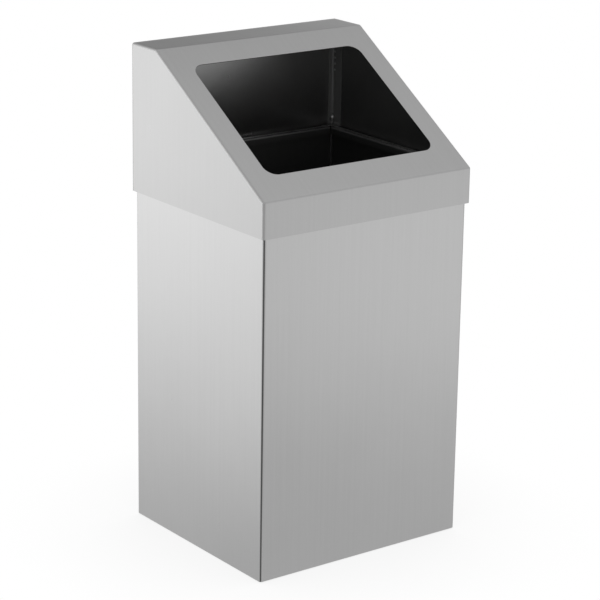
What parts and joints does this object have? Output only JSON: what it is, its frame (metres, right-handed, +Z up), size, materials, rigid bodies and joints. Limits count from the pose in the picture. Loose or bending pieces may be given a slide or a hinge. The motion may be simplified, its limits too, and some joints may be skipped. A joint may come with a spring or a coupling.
{
  "type": "waste bin",
  "caption": "Open-top floor waste bin of folded brushed stainless steel: a box body on rubber feet under a lift-off hood with one large sloping mouth.",
  "frame": {"origin": "on the floor, under the middle of the bin's box", "axes": "+Z up, -Y out of the front face that carries the lip, +X to the bin's right seen from the front"},
  "size_m": [0.354, 0.316, 0.7],
  "materials": {
    "body_steel": "satin with an upright grain",
    "hood_steel": "satin with a grain along the folded sheet",
    "bracket_steel": "mill finish",
    "pan_steel": "mill finish",
    "washer_steel": "zinc plated",
    "rivet_aluminium": "plain",
    "foot_rubber": "matt black"
  },
  "bodies": {
    "bin_body": {"body_wrapper": "body_steel", "body_back_panel": "body_steel", "base_pan": "pan_steel", "foot_front_left": "foot_rubber", "foot_front_right": "foot_rubber", "foot_rear_left": "foot_rubber", "foot_rear_right": "foot_rubber", "foot_washers": "washer_steel", "foot_rivets": "rivet_aluminium"},
    "hood": {"hood_cover": "hood_steel", "hood_left_cheek": "hood_steel", "hood_right_cheek": "hood_steel", "hood_left_bracket": "bracket_steel", "hood_right_bracket": "bracket_steel"}
  },
  "joints": [
    {"name": "hood_lift", "type": "slide", "parent": "bin_body", "child": "hood", "axis": [0, 0, 1], "range_m": [0, 0.1]}
  ]
}
